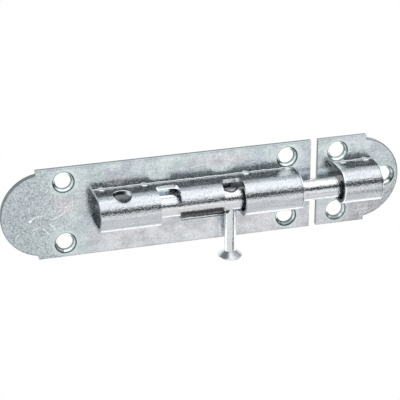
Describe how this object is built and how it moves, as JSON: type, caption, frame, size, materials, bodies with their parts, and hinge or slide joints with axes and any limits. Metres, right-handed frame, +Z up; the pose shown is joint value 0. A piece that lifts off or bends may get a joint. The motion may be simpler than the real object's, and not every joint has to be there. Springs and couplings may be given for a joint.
{
  "type": "toggle bolt latch",
  "caption": "Toggle bolt latch: a round bolt with a flared knob slides and turns in a windowed barrel on a screw-on plate and shoots into a matching keeper.",
  "frame": {"origin": "centre of the base plate's four screw holes, on the plane of the plates' backs", "axes": "+X along the bolt towards the keeper, -Y out of the door towards the user, +Z up with the knob hanging towards -Z"},
  "size_m": [0.1843, 0.0178, 0.0495],
  "materials": {
    "zinc_plate": "satin, blue-passivated zinc plating, faintly mottled",
    "zinc_strap": "bright zinc plating over bent sheet",
    "zinc_bolt": "bright zinc plating over drawn bar, drawn lengthways",
    "zinc_knob": "bright zinc plating over a headed pin"
  },
  "bodies": {
    "latch": {"base_plate": "zinc_plate", "barrel": "zinc_strap", "keeper_plate": "zinc_plate", "keeper_loop": "zinc_strap"},
    "bolt_slider": {"bolt_nose": "zinc_bolt"},
    "bolt": {"bolt_rod": "zinc_bolt", "knob": "zinc_knob"}
  },
  "joints": [
    {"name": "bolt_slide", "type": "slide", "parent": "latch", "child": "bolt_slider", "axis": [1, 0, 0], "range_m": [-0.031, 0.0015]},
    {"name": "bolt_turn", "type": "hinge", "parent": "bolt_slider", "child": "bolt", "pos_m": [0.0227, -0.0079, 0], "axis": [-1, 0, 0], "range_deg": [0, 160]}
  ]
}
